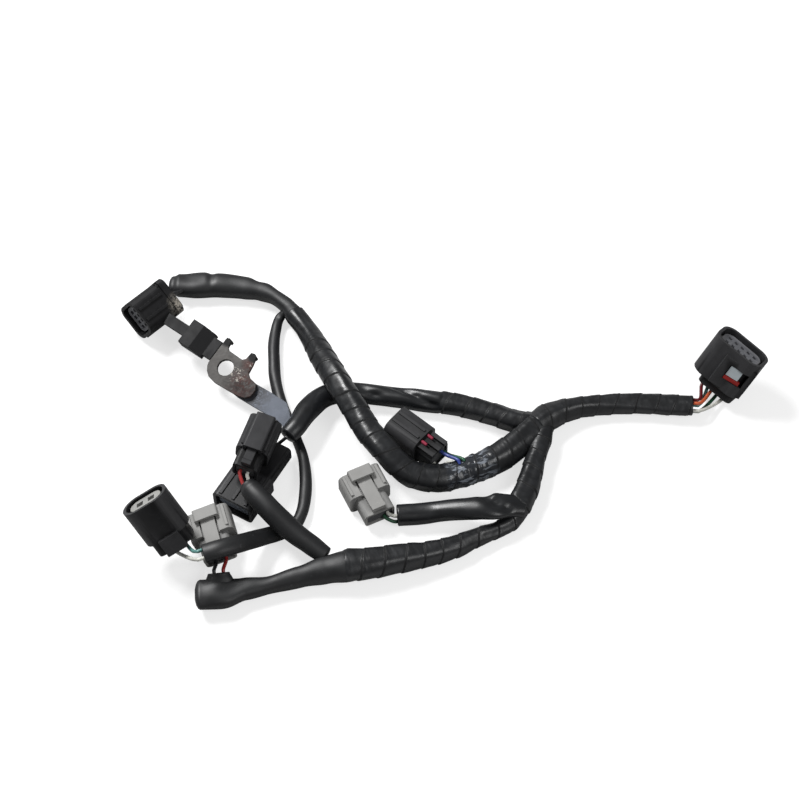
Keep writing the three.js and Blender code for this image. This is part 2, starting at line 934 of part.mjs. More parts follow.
// From a connector's seal to a sleeve's end: places on the seal and across the sleeve
function lead(name, key, [x, y], { end, heading }, [side, over], colour, reach = 3.2, cutters = []) {
  const back = -connectors[key].length + sealRecess - seat;
  const across = new THREE.Vector3(0, 0, 1).cross(heading).normalize();
  const rise = new THREE.Vector3().crossVectors(heading, across);
  const stop = end.clone().addScaledVector(heading, seat);
  stop.addScaledVector(across, side).addScaledVector(rise, over);
  const before = stop.clone().addScaledVector(heading, reach);
  const points = [pointOn(key, x, y, back), pointOn(key, x, y, back - reach), before.toArray()];
  points.push(stop.toArray());
  wire(name, points, colour, cutters);
}

const endH = mouth("branchH");
lead("wire_h_maroon", "h", [4.8, 2.2], endH, [3.2, 1.4], "maroon");
lead("wire_h_teal", "h", [2.4, -2.4], endH, [2.2, -2.0], "teal");
lead("wire_h_orange", "h", [-1, 2.6], endH, [0.4, 2.6], "orange");
lead("wire_h_green", "h", [-4, -2.2], endH, [-1.2, -2.4], "green");
lead("wire_h_white", "h", [-7.8, 1.4], endH, [-2.8, 0.6], "white");

const endE = mouth("loop");
lead("wire_e_teal", "e", [-3.2, 0], endE, [-2.2, 0], "teal");
lead("wire_e_white", "e", [3.2, 0], endE, [2.2, 0], "white");

const endF = mouth("sleeveF");
lead("wire_f_green", "f", [-2.4, -1.2], endF, [2.6, -1.2], "green", 1.6);
lead("wire_f_white", "f", [-4, 1], endF, [1.2, 1.8], "white", 1.3);

const endB = mouth("sleeveB", true);
lead("wire_b_red", "b", [2.2, 0], endB, [1.7, 0.6], "red", 1.3);
lead("wire_b_white", "b", [-1.6, 0], endB, [-1.7, 0.6], "white", 1.3);

lead("wire_c_black", "c", [0, 0], mouth("sleeveC"), [0, 0], "black", 1.0);

const spotG = {
  end: new THREE.Vector3(29, -41.5, 11),
  heading: new THREE.Vector3(-0.1, 0.8, 0.6).normalize(),
};
const roomT = room("trunk");
lead("wire_g_blue", "g", [-1.6, 2.9], spotG, [0, 1], "blue", 3.2, [roomT]);
lead("wire_g_green", "g", [-4.2, -0.4], spotG, [-2.8, 0], "green", 3.2, [roomT]);
lead("wire_g_white", "g", [3.6, -1.8], spotG, [2.8, -0.8], "white", 3.2, [roomT]);

const endD = mouth("mouthD");
lead("wire_d_black", "d", [2.6, -1], endD, [2.2, 0], "black", 1.2);
lead("wire_d_red", "d", [-2.6, -1], endD, [-2.2, 0], "maroon", 1.2);

const spotA = {
  end: new THREE.Vector3(-110, 70, 8),
  heading: new THREE.Vector3(-0.6, -0.7, 0.2).normalize(),
};
lead("wire_a_black", "a", [0, 0], spotA, [0, 0], "black", 2.4, [room("sleeveA")]);

export default group;
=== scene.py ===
"""Vehicle wiring harness: taped and sleeved branches, sealed connectors and a small steel bracket."""
import math
import bpy
import numpy as np
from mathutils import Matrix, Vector


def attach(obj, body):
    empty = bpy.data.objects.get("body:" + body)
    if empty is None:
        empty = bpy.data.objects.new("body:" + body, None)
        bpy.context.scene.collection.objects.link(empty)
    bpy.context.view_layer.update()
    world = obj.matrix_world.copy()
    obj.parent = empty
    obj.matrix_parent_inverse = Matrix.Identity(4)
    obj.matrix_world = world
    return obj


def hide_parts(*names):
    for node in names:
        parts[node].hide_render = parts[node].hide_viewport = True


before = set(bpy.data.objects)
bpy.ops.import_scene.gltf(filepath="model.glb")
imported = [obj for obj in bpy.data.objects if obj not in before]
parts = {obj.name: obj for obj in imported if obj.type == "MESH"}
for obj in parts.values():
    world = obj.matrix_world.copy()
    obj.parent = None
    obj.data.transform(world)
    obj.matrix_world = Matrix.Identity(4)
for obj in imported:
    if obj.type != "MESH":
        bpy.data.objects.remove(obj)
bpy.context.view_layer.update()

MM = 0.001
# The x and y of the routes that lie on the frame's origin, in mm
MIDDLE = (20.2, -17.98)
# How much of each half-lapped turn of tape is left bare, in mm
TAPE_PITCH = 9.5
# A place before the start of every tube, in mm along it: taped from here is taped all over
BEFORE_START = -9.0
# The angle round a tube that faces up
TOP = math.pi / 2


# Camera: the harness lies on a table, seen from the front and well above
CAMERA_LENS = 85
CAMERA_SENSOR = 36
CAMERA_NEAREST = 0.01
CAMERA_DISTANCE = 0.944
CAMERA_TILT = math.radians(57)
AIM_HEIGHT = 0.008
camera_data = bpy.data.cameras.new("camera")
camera_data.lens = CAMERA_LENS
camera_data.sensor_width = CAMERA_SENSOR
camera_data.clip_start = CAMERA_NEAREST
camera = bpy.data.objects.new("camera", camera_data)
bpy.context.scene.collection.objects.link(camera)
target = Vector((-MIDDLE[0] * MM, -MIDDLE[1] * MM, AIM_HEIGHT))
camera.location = target + CAMERA_DISTANCE * Vector((0, -math.cos(CAMERA_TILT), math.sin(CAMERA_TILT)))
camera.rotation_euler = (math.pi / 2 - CAMERA_TILT, 0, 0)
bpy.context.scene.camera = camera
bpy.context.scene.view_settings.view_transform = "Standard"


# Branches: rows of x, y, z, width and height in millimetres along each one
ROUTES = {
    "sleeve_a": [
        (-118.3, 72.5, 6.5, 10, 7),
        (-114.7, 72.3, 6.5, 13, 10),
        (-105.3, 72.7, 6.2, 14.5, 11),
        (-93.9, 72.5, 6, 13, 11),
        (-80.8, 70.9, 6, 12, 10.5),
        (-71.8, 68.3, 6.5, 9.5, 9.5),
        (-64.3, 63.4, 7.5, 7.5, 8.5),
        (-57.8, 57.2, 8, 8, 9),
        (-54.8, 52.6, 8, 9.5, 10.2),
    ],
    "trunk": [
        (-54.6, 52.2, 8, 10.5, 11),
        (-49.7, 44.9, 8.5, 10.5, 11),
        (-44.3, 35.1, 10, 11.5, 12),
        (-38.8, 22.3, 13.5, 12.5, 12),
        (-33.4, 10.3, 16.8, 12.5, 12),
        (-27.2, -2.2, 17.8, 12.5, 12),
        (-21.2, -12.6, 16.6, 12.5, 12),
        (-15.2, -23.6, 15.6, 12.5, 12),
        (-8.7, -32.1, 15.2, 12.5, 12),
        (-1.7, -39.7, 12.8, 12.5, 12.5),
        (6.3, -44.2, 9.5, 13, 13),
        (18, -45.3, 8, 13.5, 13),
        (28.8, -42.6, 7.3, 14, 13),
        (40.1, -37.6, 7, 14.5, 13.5),
        (50.6, -31, 7, 14.5, 13.5),
        (59.7, -22.9, 7, 13.5, 13),
        (67.5, -14.7, 7, 13, 12.5),
    ],
    "tape_h": [
        (67.7, -14.5, 7, 13, 12.5),
        (74.2, -9, 6.8, 14, 12),
        (81.3, -5.4, 6.3, 12, 11),
        (90, -2.7, 5.8, 10.2, 10.2),
        (100.1, -1.2, 5.5, 9.8, 9.8),
        (112.7, -0.4, 5.4, 10, 10),
        (123.7, -0.6, 5.4, 10, 10),
        (135.1, -1.6, 5.4, 10.3, 10),
        (146, -2.6, 6, 9.6, 9.6),
    ],
    "branch_c": [
        (68.6, -12.9, 6, 11, 11),
        (57.2, -11.2, 6, 11, 11),
        (46.9, -7.2, 5.8, 11, 11),
        (32.5, -2.7, 5.7, 11, 11),
        (20.2, -0.1, 5.7, 11, 11),
        (10.5, 1.2, 5.7, 11.5, 11),
        (1, 2.8, 5.6, 10.5, 10.5),
        (-10, 4.3, 5.6, 10.5, 10.5),
        (-21.6, 5.8, 5.6, 10.5, 10.5),
        (-31.2, 5.7, 5.7, 10.8, 10.8),
        (-39.1, 2.1, 7, 11.5, 10.5),
        (-45.7, -7.2, 10, 11.5, 10.5),
        (-50.9, -17.9, 12.1, 10.5, 9.5),
        (-54.9, -23.4, 12.2, 9.6, 8.6),
    ],
    "sleeve_e": [
        (-59.4, 55.5, 6, 4, 5),
        (-62.5, 52.4, 4.2, 5, 5.5),
        (-64.1, 44.8, 3.3, 5.6, 6),
        (-64.6, 36.7, 3.3, 6, 6),
        (-64.2, 27.4, 3.3, 6, 6),
        (-63.6, 18.2, 3.3, 6, 6),
        (-61.5, 7.9, 3.3, 6, 6),
        (-58.7, -1.7, 3.3, 6, 6),
        (-54.8, -11.2, 3.3, 5.6, 5.6),
        (-51.1, -20.6, 3.3, 5, 5.4),
        (-47.8, -30.5, 3.3, 5.4, 6),
        (-46.3, -40.8, 3.3, 6, 6),
        (-46.2, -52.1, 3.3, 6, 6),
        (-47.4, -61.6, 3.3, 6, 6),
        (-50.1, -68.2, 3.3, 6, 6),
        (-54.8, -72.1, 3.4, 7, 6),
        (-62.4, -75.4, 5.4, 9, 6),
        (-70.1, -81.4, 11.4, 9.5, 6.5),
        (-77.2, -87.4, 18, 9.5, 7),
        (-84.6, -91.2, 20.6, 9.5, 7),
        (-91.6, -93.4, 20, 9.5, 7),
    ],
    "lower_and_d": [
        (71, -15.3, 6, 10.5, 10.5),
        (69.2, -23.3, 5.8, 11, 11),
        (66.8, -32.5, 5.7, 9.5, 10),
        (64.6, -40.5, 5.7, 10.5, 10.5),
        (61.8, -49.6, 5.7, 11.5, 11),
        (57.8, -58.8, 6, 11.5, 11),
        (53.5, -67.5, 4.2, 7.8, 7.8),
        (46.6, -71.9, 4.2, 7.5, 7.6),
        (37.4, -75.9, 4.8, 8.6, 8.8),
        (26.3, -81.4, 5.4, 10.4, 10),
        (14.3, -85.5, 6, 11.6, 11.2),
        (0, -89, 6.9, 13.6, 13),
        (-14.2, -92.2, 7.4, 14.4, 14),
        (-25.8, -93.5, 7.4, 15.5, 14),
        (-35.5, -95.3, 6.8, 13, 12),
        (-47.3, -98.1, 5.5, 10, 10),
        (-61.3, -101.9, 4.7, 8.5, 8.6),
        (-73, -104.3, 5.2, 11, 9),
        (-83.6, -107.4, 6.5, 15, 10),
        (-93.8, -108.2, 7, 15.5, 8),
    ],
    "sleeve_f": [
        (58.4, -61.5, 7, 11, 8),
        (52.4, -62.1, 10, 12, 7.5),
        (45.5, -64.1, 12.5, 13, 7),
        (37.4, -64.3, 12, 11.5, 8),
        (28.8, -63.7, 9.5, 10.5, 9),
        (19.3, -63.1, 6.5, 10, 9.8),
        (9.7, -63.6, 5.3, 10, 10),
        (-1, -64.6, 5.2, 10.5, 10),
    ],
    "sleeve_b": [
        (-73, -55.4, 18.8, 8.5, 8),
        (-70.9, -58.3, 18.8, 10.5, 10),
        (-66.9, -63.3, 18.8, 11, 10.5),
        (-61.5, -69.1, 17.5, 11, 10.5),
        (-55.6, -74, 15, 11, 10.5),
        (-49.3, -79, 12.5, 10.5, 10),
        (-42.7, -82.9, 10, 10, 9),
        (-35.6, -87.7, 8, 9, 8),
    ],
    "mouth_d": [
        (-84.6, -104.6, 6.5, 14, 6.5),
        (-85, -101, 8.2, 12.5, 6.5),
        (-85.3, -98.4, 9.6, 10.5, 6),
    ],
}


# How many parts the line between two rows is worked out in
SPLINE_PARTS = 24
# How many sine waves a ripple adds up
RIPPLE_WAVES = 12
# How suddenly tape begins or gives way to a tube: the logistic curve's slope, per mm
TAPE_START_SLOPE = 2.5
TAPE_END_SLOPE = 4
# How far an open tube's lip stands out past its last ring, in mm
LIP = 0.35
# The angles up a closed end's dome at which it has a ring
DOME_ANGLES = (0.4, 0.8, 1.2)
# The distance from the middle of a band of tape at which the painted shade along its edge begins, and how far
# it takes to reach full strength, as shares of the band
EDGE_FROM = 0.43
EDGE_RISE = 0.025


def centre_line(rows, step):
    """Even steps along the centripetal spline through the rows, with the section's size at each step.

    Between two rows the line is a cubic. Its slope at a row comes from the rows on both sides, weighted
    by the square roots of their distances. The size eases from one row to the next."""
    rows = np.array(rows, float)
    points = rows[:, :3] - (MIDDLE[0], MIDDLE[1], 0)
    ends = np.vstack([2 * points[0] - points[1], points, 2 * points[-1] - points[-2]])
    u = np.linspace(0, 1, SPLINE_PARTS, endpoint=False)[:, None]
    fine, size = [], []
    for i in range(len(points) - 1):
        p0, p1, p2, p3 = ends[i : i + 4]
        d0, d1, d2 = (math.sqrt(np.linalg.norm(d)) for d in (p1 - p0, p2 - p1, p3 - p2))
        t1 = ((p1 - p0) / d0 - (p2 - p0) / (d0 + d1) + (p2 - p1) / d1) * d1
        t2 = ((p2 - p1) / d1 - (p3 - p1) / (d1 + d2) + (p3 - p2) / d2) * d1
        cubic = 2 * p1 - 2 * p2 + t1 + t2
        square = 3 * p2 - 3 * p1 - 2 * t1 - t2
        fine.append(p1 + t1 * u + square * u**2 + cubic * u**3)
        ease = u * u * (3 - 2 * u)
        size.append(rows[i, 3:] * (1 - ease) + rows[i + 1, 3:] * ease)
    fine = np.vstack(fine + [points[-1:]])
    size = np.vstack(size + [rows[-1:, 3:]])
    along = np.append(0, np.cumsum(np.linalg.norm(np.diff(fine, axis=0), axis=1)))
    even = np.linspace(0, along[-1], int(along[-1] / step) + 1)
    line = np.stack([np.interp(even, along, fine[:, k]) for k in range(3)], 1)
    size = np.stack([np.interp(even, along, size[:, k]) for k in range(2)], 1)
    return even, line, size


def ripple(s, th, seed, waves, spin, sharp=False):
    """Sine waves added up that run along and round a tube, with lengths between the two in waves.

    Each goes a whole number of times round the tube, spin at most, and sharp folds them into creases."""
    rng = np.random.default_rng(seed)
    total = 0
    for _ in range(RIPPLE_WAVES):
        wave = rng.uniform(*waves)
        turns = rng.integers(-spin, spin + 1)
        value = np.sin(2 * np.pi * s / wave + turns * th + rng.uniform(0, 2 * np.pi))
        total = total + (1 - 2 * np.abs(value) if sharp else value)
    return total / RIPPLE_WAVES**0.5


def tape_lap(s, th, seed):
    """How far across one exposed band of half-lapped tape a point lies, from 0 to 1.

    It is the turns of tape wound up to the point, wandering a little, less their whole number."""
    turn = s / TAPE_PITCH + th / (2 * np.pi) + 0.1 * np.sin(s / 7 + seed) + 0.04 * np.sin(2 * th + s / 5)
    return turn - np.floor(turn)


def past(s, place, slope):
    """The logistic curve along a tube: 0 well before the place and 1 well after it."""
    return 1 / (1 + np.exp(-(s - place) * slope))


def tape_relief(seed, lap=0.42, pucker=0.035, taped_from=BEFORE_START, loose=()):
    """Each band of tape rises evenly to the edge that covers the next, over the wires' soft lumps.

    Small puckers gather at the edges. Loose tape is creased all over, by a bell curve round each place."""

    def relief(s, th):
        across = tape_lap(s, th, seed)
        fine = ripple(s, th, seed + 3, waves=(2.2, 6), spin=4, sharp=True)
        slow = ripple(s, th, seed, waves=(6, 18), spin=2, sharp=True)
        lumps = 0.3 * np.sin(3 * th + s / 19 + seed) + 0.16 * np.sin(5 * th - s / 11)
        taped = past(s, taped_from, TAPE_START_SLOPE)
        more = sum(np.exp(-(((s - middle) / reach) ** 4)) for middle, reach in loose)
        creased = more * (0.2 * slow + 0.05 * fine)
        return taped * (lap * across + pucker * (slow + across**2 * fine) + creased) + lumps

    return relief


def sleeve_relief(seed, swell=0.16, dents=()):
    """Long soft swells, faintly uneven, less a bell curve along and round the tube for each dent.

    A dent is its place along, its angle, its depth, its length and its spread in angle."""

    def relief(s, th):
        soft = swell * ripple(s, th, seed, waves=(16, 45), spin=2)
        total = soft + 0.012 * ripple(s, th, seed + 5, waves=(5, 14), spin=3)
        for place, angle, depth, length, spread in dents:
            turn = np.angle(np.exp(1j * (th - angle)))
            total = total - depth * np.exp(-(((s - place) / length) ** 2) - (turn / spread) ** 2)
        return total

    return relief


def tube(
    name,
    rows,
    relief,
    looks,
    step=0.4,
    around=72,
    mouths=(0, 0),
    wall=0.9,
    square=2.0,
    second_look_from=None,
    seed=0,
    dome=1.2,
    taped_from=BEFORE_START,
):
    """A ring of points carried along the spline: a rounded oval with the relief added outwards.

    The oval is the curve on which the two shares of the half sizes, each to the power square, add up to 1.
    mouths holds the depth of the hollow at either end, which turns in over the wall, or 0 for an end that
    is closed by a low dome. The second look, if there is one, begins that many mm along."""
    s, line, size = centre_line(rows, step)
    th = np.arange(around) * 2 * np.pi / around
    tangent = np.gradient(line, axis=0)
    tangent /= np.linalg.norm(tangent, axis=1)[:, None]
    side = np.cross((0, 0, 1), tangent)
    side /= np.linalg.norm(side, axis=1)[:, None]
    rise = np.cross(tangent, side)
    unit = (np.abs(np.cos(th)) ** square + np.abs(np.sin(th)) ** square) ** (-1 / square)
    grow = relief(s[:, None], th[None, :])

    def rings(index, inset, ahead=0.0, shrink=1.0):
        across = unit * np.cos(th) * (size[index, :1] / 2 + grow[index] - inset) * shrink
        up = unit * np.sin(th) * (size[index, 1:] / 2 + grow[index] - inset) * shrink
        base = line[index] + tangent[index] * ahead
        return base[:, None] + across[..., None] * side[index][:, None] + up[..., None] * rise[index][:, None]

    last = len(s) - 1
    stack, place = [], []
    for end, index in ((0, 0), (1, last)):
        sign = -1 if end == 0 else 1
        found, at = [], []
        if mouths[end]:
            count = int(mouths[end] / step)
            inner = np.arange(0, count) if end == 0 else last - np.arange(0, count)
            lip = rings(np.array([index]), wall / 2, sign * LIP)
            found = [lip, rings(inner, wall)]
            at = [s[[index]], s[inner]]
        else:
            for angle in DOME_ANGLES:
                found.append(rings(np.array([index]), 0, sign * dome * math.sin(angle), math.cos(angle)))
                at.append(s[[index]])
        found, at = np.vstack(found), np.concatenate(at)
        if end == 0:
            stack.append(found[::-1])
            place.append(at[::-1])
            stack.append(rings(np.arange(len(s)), 0))
            place.append(s)
        else:
            stack.append(found)
            place.append(at)
    grid = np.vstack(stack) * MM
    place = np.concatenate(place)
    count = len(grid)
    poles = np.stack([grid[0].mean(0), grid[-1].mean(0)])
    points = np.vstack([grid.reshape(-1, 3), poles])
    i, j = np.meshgrid(np.arange(count - 1), np.arange(around), indexing="ij")
    k = (j + 1) % around
    here, after = i * around, (i + 1) * around
    quads = np.stack([here + j, here + k, after + k, after + j], -1).reshape(-1, 4)
    j = np.arange(around)
    k = (j + 1) % around
    first = np.stack([k, j, np.full(around, count * around)], 1)
    tail = (count - 1) * around
    final = np.stack([tail + j, tail + k, np.full(around, count * around + 1)], 1)
    faces = quads.tolist() + first.tolist() + final.tolist()
    mesh = bpy.data.meshes.new(name)
    mesh.from_pydata(points.tolist(), [], faces)
    reach = float(size.mean()) / 2 * MM
    u0 = np.repeat((np.arange(around) * 2 * np.pi / around * reach)[None], count - 1, 0)
    width = 2 * np.pi / around * reach
    v0 = np.repeat(place[:-1, None], around, 1) * MM
    v1 = np.repeat(place[1:, None], around, 1) * MM
    uv = np.stack([u0, v0, u0 + width, v0, u0 + width, v1, u0, v1], -1).reshape(-1)
    caps = np.zeros(2 * around * 6)
    layer = mesh.uv_layers.new(name="UVMap")
    layer.data.foreach_set("uv", np.concatenate([uv, caps]))
    # 1 up to 0.4 mm from a tape edge and 0 past 0.7 mm, so that the whole step is darkened with painted shade
    # and made dull
    edge = mesh.attributes.new("edge", "FLOAT", "POINT")
    across = tape_lap(np.repeat(place, around), np.tile(th, count), seed)
    values = np.clip((np.abs(across - 0.5) - EDGE_FROM) / EDGE_RISE, 0, 1)
    values = values * (np.repeat(place, around) > taped_from)
    edge.data.foreach_set("value", np.concatenate([values, [0, 0]]))
    for look in looks:
        mesh.materials.append(look)
    if second_look_from is not None:
        owner = (np.repeat(place[:-1], around) > second_look_from).astype(np.int32)
        owners = np.concatenate([owner, np.zeros(around), np.ones(around)]).astype(np.int32)
        mesh.polygons.foreach_set("material_index", owners)
    mesh.polygons.foreach_set("use_smooth", np.ones(len(faces), bool))
    mesh.update()
    piece = bpy.data.objects.new(name, mesh)
    bpy.context.scene.collection.objects.link(piece)
    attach(piece, "root")
    return piece, s, line


# Materials. Colours are codes of six hexadecimal digits, as a screen shows them
# Painted shade along the step of each lap of tape
PAINTED_EDGE_SHADE = "09090a"
# Painted sheen and painted highlight streaks on the trunk's loose, glossy tape
PAINTED_LOOSE_TAPE_SHEEN = "2b2e33"
PAINTED_TAPE_HIGHLIGHT = "8a9099"
SCUFF = "54565a"
DRIED_DUST = "a09a90"
TAB_TIP_BLACK = "0b0b0c"
BARE_CHIP = "b3ada4"
# How far light meets the edges of moulded and of metal parts as if they were rounded, in mm
MOULDED_EDGE = 0.35
METAL_EDGE = 0.3
# Where the trunk's tape is loose, glossy and painted with a sheen and highlight streaks, from and to in mm
# along it, and its creases' middle and reach
LOOSE_FROM_TO = (133, 160)
LOOSE_CREASES = [(146, 11)]


def linear(code):
    """A linear colour from a code of six hexadecimal digits."""
    values = [int(code[i : i + 2], 16) / 255 for i in (0, 2, 4)]
    return [v / 12.92 if v <= 0.04045 else ((v + 0.055) / 1.055) ** 2.4 for v in values] + [1]


class Look:
    """A material being made: add() adds its nodes, which read the object's own coordinates."""

    def __init__(self, name, colour, roughness, metallic=0.0, specular=0.5):
        self.made = bpy.data.materials.new(name)
        self.made.use_nodes = True
        self.tree = self.made.node_tree
        self.shader = self.tree.nodes["Principled BSDF"]
        self.shader.inputs["Base Color"].default_value = linear(colour)
        self.shader.inputs["Roughness"].default_value = roughness
        self.shader.inputs["Metallic"].default_value = metallic
        self.shader.inputs["Specular IOR Level"].default_value = specular
        self.made.diffuse_color = linear(colour)

    def add(self, kind, inputs=(), **settings):
        """A new node of a kind, with its inputs linked or set."""
        made = self.tree.nodes.new("ShaderNode" + kind)
        for key, value in settings.items():
            setattr(made, key, value)
        for key, value in dict(inputs).items():
            self.put(made.inputs[key], value)
        return made

    def put(self, socket, value):
        """Links the value to the socket if it is another node's output, and otherwise sets it there."""
        if isinstance(value, bpy.types.NodeSocket):
            self.tree.links.new(value, socket)
        else:
            socket.default_value = value

    def coords(self, kind="Object", scale=(1, 1, 1)):
        """The object's coordinates, or those of its UV map, stretched by scale."""
        source = self.add("TexCoord").outputs[kind]
        return self.add("Mapping", {"Vector": source, "Scale": scale}).outputs["Vector"]

    def noise(self, vector, scale, detail=3.0, rough=0.55, twist=0.0):
        """Cloudy noise from 0 to 1, with scale clouds to a metre."""
        inputs = {"Vector": vector, "Scale": scale, "Detail": detail, "Roughness": rough, "Distortion": twist}
        return self.add("TexNoise", inputs).outputs["Fac"]

    def spread(self, value, low, high, to_low, to_high):
        """The value carried in a straight line from low and high to to_low and to_high, and held there."""
        inputs = {"Value": value, "From Min": low, "From Max": high, "To Min": to_low, "To Max": to_high}
        return self.add("MapRange", inputs).outputs["Result"]

    def blend(self, share, first, second):
        """A mix of two colours, with share of the second."""
        made = self.add("Mix", data_type="RGBA")
        self.put(made.inputs[0], share)
        self.put(made.inputs[6], linear(first) if isinstance(first, str) else first)
        self.put(made.inputs[7], linear(second) if isinstance(second, str) else second)
        return made.outputs[2]

    def distance(self, vector, point):
        """How far each place lies from one point of the object, in metres."""
        return self.add("VectorMath", {0: vector, 1: point}, operation="DISTANCE").outputs["Value"]

    def maths(self, operation, first, second):
        """One sum, difference, product or greater value of two values."""
        made = self.add("Math", operation=operation)
        self.put(made.inputs[0], first)
        self.put(made.inputs[1], second)
        return made.outputs[0]

    def bumps(self, levels, rounding=0.0):
        """Bump maps on each other, each a height, a strength and a depth in mm, over softly rounded edges."""
        normal = None
        if rounding:
            normal = self.add("Bevel", {"Radius": rounding * MM}, samples=4).outputs["Normal"]
        for height, strength, depth in levels:
            inputs = {"Height": height, "Strength": strength, "Distance": depth * MM}
            if normal is not None:
                inputs["Normal"] = normal
            normal = self.add("Bump", inputs).outputs["Normal"]
        self.put(self.shader.inputs["Normal"], normal)

    def colour(self, value):
        """The colour all over."""
        self.put(self.shader.inputs["Base Color"], value)

    def gloss(self, value):
        """The roughness all over: the lower, the glossier."""
        self.put(self.shader.inputs["Roughness"], value)


def tape_look(name, dark, pale, low, high, shiny=None):
    """Wrapping tape: smooth dark bands with a painted shade line along each lap's step, dull smears and faint
    creases.

    Between the two places in shiny (mm along the tape) it is glossier and creased, with a paler painted sheen
    and painted highlight streaks."""
    look = Look(name, dark, 0.35)
    smear = look.noise(look.coords("UV", (1, 1.6, 1)), scale=150, detail=4, rough=0.6, twist=0.6)
    crease = look.noise(look.coords("UV", (1.4, 1, 1)), scale=420, detail=4, rough=0.55, twist=0.8)
    weave = look.noise(look.coords("UV"), scale=2600, detail=2)
    painted_edge_shade_mask = look.add("Attribute", attribute_name="edge").outputs["Fac"]
    body = look.blend(look.spread(smear, 0.4, 0.75, 0.0, 0.75), dark, pale)
    gloss = look.spread(smear, 0.35, 0.7, low, high)
    crumple = 0.12
    if shiny:
        along = look.add("SeparateXYZ", {0: look.coords("UV")}).outputs["Y"]
        start, end = shiny
        near = look.spread(along, start * MM, (start + 2) * MM, 0.0, 1.0)
        near = look.maths("MULTIPLY", near, look.spread(along, end * MM, (end - 6) * MM, 0.0, 1.0))
        # Painted sheen: the loose tape is paler, and painted highlight streaks follow a noise over it
        body = look.blend(look.maths("MULTIPLY", near, 0.75), body, PAINTED_LOOSE_TAPE_SHEEN)
        highlight_streak_noise = look.noise(look.coords("UV", (1.6, 0.4, 1)), scale=330, detail=3, rough=0.5, twist=0.9)
        painted_highlight_streak = look.maths("MULTIPLY", near, look.spread(highlight_streak_noise, 0.53, 0.62, 0.0, 0.8))
        body = look.blend(painted_highlight_streak, body, PAINTED_TAPE_HIGHLIGHT)
        gloss = look.maths("SUBTRACT", gloss, look.maths("MULTIPLY", near, 0.1))
        crumple = look.spread(near, 0.0, 1.0, 0.12, 0.3)
    # Painted shade: each lap's step is darkened where its shadow falls
    look.colour(look.blend(look.maths("MULTIPLY", painted_edge_shade_mask, 0.7), body, PAINTED_EDGE_SHADE))
    look.gloss(look.maths("MAXIMUM", gloss, look.maths("MULTIPLY", painted_edge_shade_mask, 0.9)))
    look.bumps([(smear, 0.15, 0.6), (crease, crumple, 0.2), (weave, 0.08, 0.08)])
    return look.made


def sleeve_look(name, dark, pale, low, high):
    """Soft vinyl tube: an even dark skin with a dull bloom, faint lengthwise draw lines and scuffs."""
    look = Look(name, dark, 0.4)
    bloom = look.noise(look.coords("UV", (1, 0.5, 1)), scale=120, detail=4, rough=0.6, twist=0.4)
    draw = look.noise(look.coords("UV", (1, 0.04, 1)), scale=1500, detail=3)
    grain = look.noise(look.coords("UV"), scale=2400, detail=2)
    scuff = look.noise(look.coords("UV", (1, 0.4, 1)), scale=420, detail=6, rough=0.7, twist=1.5)
    cloudy = look.blend(look.spread(bloom, 0.35, 0.75, 0.0, 0.8), dark, pale)
    look.colour(look.blend(look.spread(scuff, 0.62, 0.72, 0.0, 0.35), cloudy, SCUFF))
    look.gloss(look.spread(bloom, 0.3, 0.7, low, high))
    look.bumps([(bloom, 0.2, 0.6), (draw, 0.08, 0.15), (grain, 0.08, 0.1)])
    return look.made


def plastic_look(name, dark, pale, roughness, dust_and_edge_highlight, dusty):
    """Moulded plastic: fine spark grain, slow colour change, a painted highlight on sharp convex edges, and
    dusty patches.
    """
    look = Look(name, dark, roughness, specular=0.22)
    place = look.coords()
    cloud = look.noise(place, scale=120, detail=4, rough=0.6, twist=0.3)
    grain = look.noise(place, scale=2600, detail=2)
    speck = look.noise(place, scale=800, detail=6, rough=0.75, twist=0.6)
    painted_edge_highlight = look.add("NewGeometry").outputs["Pointiness"]
    body = look.blend(look.spread(cloud, 0.35, 0.7, 0.0, 1.0), dark, pale)
    # Painted highlight: sharp convex edges are made paler
    body = look.blend(look.spread(painted_edge_highlight, 0.515, 0.56, 0.0, 0.35), body, dust_and_edge_highlight)
    clouded = look.spread(cloud, 0.5, 0.66, 0.0, 1.0)
    patch = look.maths("MULTIPLY", clouded, look.spread(speck, 0.5, 0.64, 0.0, dusty))
    look.colour(look.blend(patch, body, dust_and_edge_highlight))
    look.gloss(look.spread(cloud, 0.3, 0.75, roughness - 0.1, roughness + 0.12))
    look.bumps([(grain, 0.22, 0.1), (speck, 0.08, 0.12)], MOULDED_EDGE)
    return look.made


def dusty_look(name, dark, pale, roughness, centre, radius):
    """The moulded black plastic with one dried dusty patch round a point of the object."""
    look = Look(name, dark, roughness, specular=0.22)
    place = look.coords()
    cloud = look.noise(place, scale=160, detail=4, rough=0.6, twist=0.3)
    grain = look.noise(place, scale=2600, detail=2)
    speck = look.noise(place, scale=520, detail=6, rough=0.75, twist=0.8)
    near = look.spread(look.distance(place, centre), radius * 0.35, radius, 1.0, 0.0)
    ragged = look.maths("MULTIPLY", near, look.spread(speck, 0.42, 0.58, 0.0, 0.8))
    body = look.blend(look.spread(cloud, 0.35, 0.7, 0.0, 1.0), dark, pale)
    look.colour(look.blend(ragged, body, DRIED_DUST))
    look.gloss(look.spread(cloud, 0.3, 0.75, roughness - 0.1, roughness + 0.15))
    look.bumps([(grain, 0.22, 0.1), (ragged, 0.25, 0.15)], MOULDED_EDGE)
    return look.made


